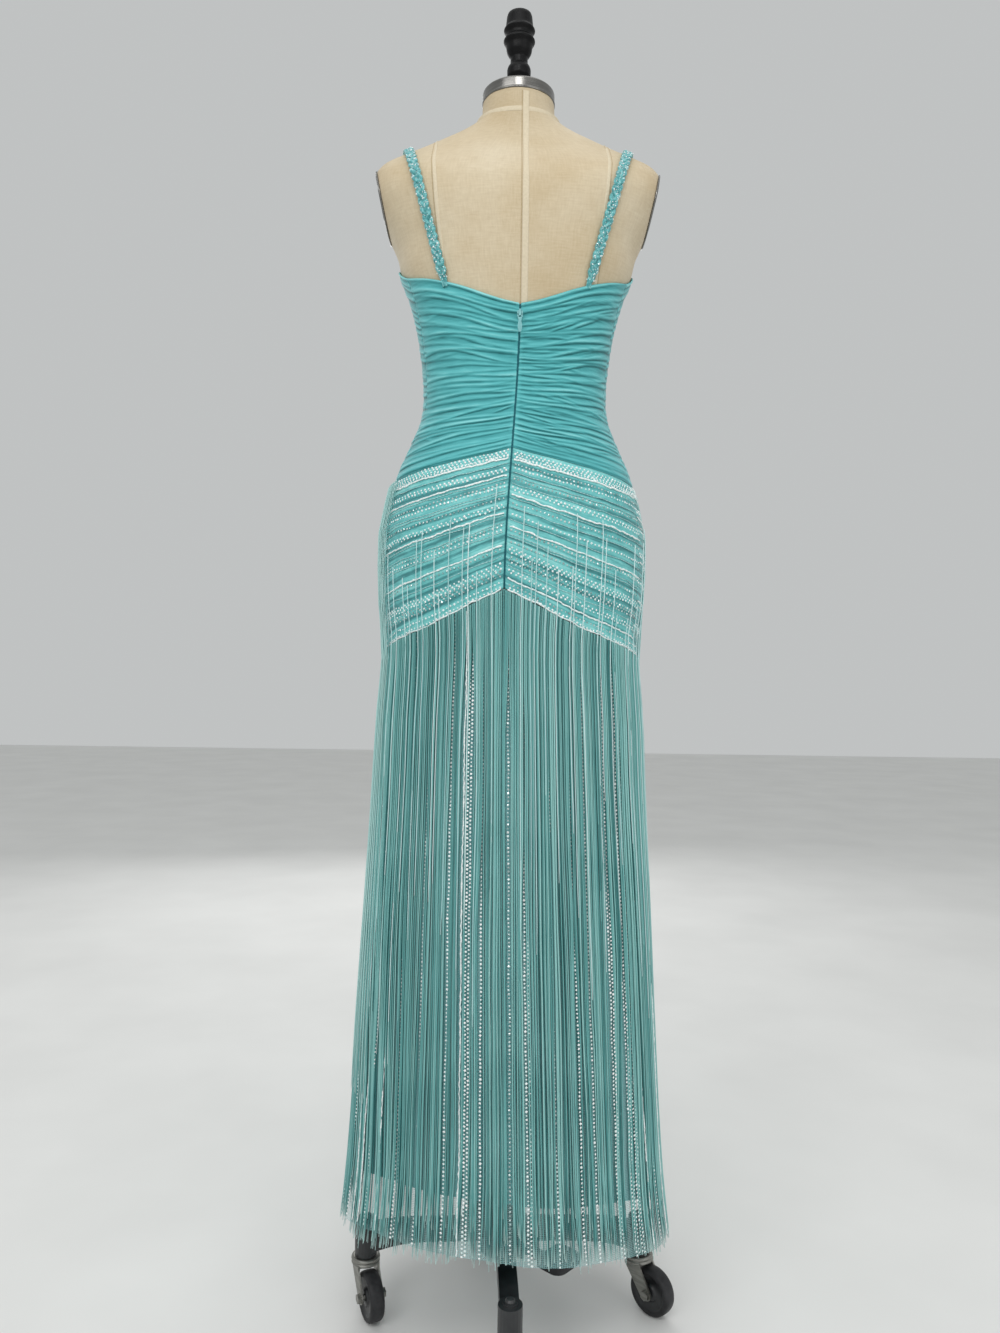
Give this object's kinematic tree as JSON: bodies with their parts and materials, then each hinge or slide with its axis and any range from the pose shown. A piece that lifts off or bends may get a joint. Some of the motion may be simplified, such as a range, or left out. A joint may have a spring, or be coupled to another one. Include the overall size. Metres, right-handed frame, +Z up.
{
  "type": "mermaid gown on a limbless dress form with a caster stand",
  "caption": "Floor-length mermaid gown with ruched bodice, beaded hip yoke and long fringe over a sheer skirt, zipped at the back, on a limbless dress form with a wheeled stand.",
  "frame": {"origin": "on the floor under the middle of the whole object, where the stand's column stands", "axes": "+Z up; the gown's front faces -Y, and its own left side is +X"},
  "size_m": [0.4512, 0.4126, 1.779],
  "materials": {
    "chiffon": "soft crepe chiffon, ruched",
    "beaded_cloth": "embroidered mesh over satin with rows of beads",
    "lining_cloth": "smooth satin lining",
    "mesh_cloth": "sheer net with sequin stripes",
    "fringe_thread": "twisted rayon threads",
    "zip_tape": "woven tape and coil",
    "zip_metal": "enamelled to match the cloth",
    "strap_braid": "braid set with small beads",
    "linen": "natural linen over a hard shell",
    "cap_steel": "brushed",
    "black_wood": "black lacquer, turned",
    "black_paint": "black enamel over a casting",
    "caster_steel": "zinc plate, dull",
    "rubber": "black rubber"
  },
  "bodies": {
    "base": {"hub": "black_paint", "column": "black_paint", "column_collar": "black_paint", "leg_left": "black_paint", "leg_back": "black_paint", "leg_right": "black_paint", "leg_front": "black_paint"},
    "form": {"form_torso": "linen", "arm_plate_left": "cap_steel", "arm_plate_right": "cap_steel", "neck_cap": "cap_steel", "finial": "black_wood", "pole": "caster_steel", "bodice_front": "chiffon", "bodice_back_left": "chiffon", "bodice_back_right": "chiffon", "yoke_front": "beaded_cloth", "yoke_back_left": "beaded_cloth", "yoke_back_right": "beaded_cloth", "lining_back": "lining_cloth", "lining_front": "lining_cloth", "mesh_back": "mesh_cloth", "mesh_front": "mesh_cloth", "fringe_back_left": "fringe_thread", "fringe_back_right": "fringe_thread", "fringe_front": "fringe_thread", "fringe_upper": "fringe_thread", "zip_tape": "zip_tape", "zip_slider": "zip_metal", "strap_left": "strap_braid", "strap_right": "strap_braid"},
    "zip_tab": {"zip_pull": "zip_metal"},
    "pedal": {"pedal_arm": "black_paint", "pedal_pad": "rubber"},
    "caster_left": {"fork_left": "caster_steel"},
    "caster_back": {"fork_back": "caster_steel"},
    "caster_right": {"fork_right": "caster_steel"},
    "caster_front": {"fork_front": "caster_steel"},
    "roller_left": {"wheel_left": "rubber"},
    "roller_back": {"wheel_back": "rubber"},
    "roller_right": {"wheel_right": "rubber"},
    "roller_front": {"wheel_front": "rubber"}
  },
  "joints": [
    {"name": "height_slide", "type": "slide", "parent": "base", "child": "form", "axis": [0, 0, 1], "range_m": [0, 0.15]},
    {"name": "zip_tab_hinge", "type": "hinge", "parent": "form", "child": "zip_tab", "pos_m": [-0.00444, 0.10354, 1.3335], "axis": [1, 0, 0], "range_deg": [0, 165]},
    {"name": "pedal_hinge", "type": "hinge", "parent": "base", "child": "pedal", "pos_m": [-0.03087, 0.02848, 0.1], "axis": [-0.6782, -0.7349, 0], "range_deg": [0, 14], "stiffness_Nm_per_rad": 6, "springref_deg": -17.19},
    {"name": "swivel_left", "type": "hinge", "parent": "base", "child": "caster_left", "pos_m": [0.18785, 0.00754, 0.07], "axis": [0, 0, 1], "continuous": true},
    {"name": "swivel_back", "type": "hinge", "parent": "base", "child": "caster_back", "pos_m": [-0.00754, 0.18785, 0.07], "axis": [0, 0, 1], "continuous": true},
    {"name": "swivel_right", "type": "hinge", "parent": "base", "child": "caster_right", "pos_m": [-0.18785, -0.00754, 0.07], "axis": [0, 0, 1], "continuous": true},
    {"name": "swivel_front", "type": "hinge", "parent": "base", "child": "caster_front", "pos_m": [0.00754, -0.18785, 0.07], "axis": [0, 0, 1], "continuous": true},
    {"name": "roll_left", "type": "hinge", "parent": "caster_left", "child": "roller_left", "pos_m": [0.17733, 0.02912, 0.03161], "axis": [-0.8988, -0.4384, 0], "continuous": true},
    {"name": "roll_back", "type": "hinge", "parent": "caster_back", "child": "roller_back", "pos_m": [-0.0301, 0.17964, 0.03161], "axis": [0.342, -0.9397, 0], "continuous": true},
    {"name": "roll_right", "type": "hinge", "parent": "caster_right", "child": "roller_right", "pos_m": [-0.20482, 0.00943, 0.03161], "axis": [-0.7071, -0.7071, 0], "continuous": true},
    {"name": "roll_front", "type": "hinge", "parent": "caster_front", "child": "roller_front", "pos_m": [0.0301, -0.17964, 0.03161], "axis": [-0.342, 0.9397, 0], "continuous": true}
  ]
}
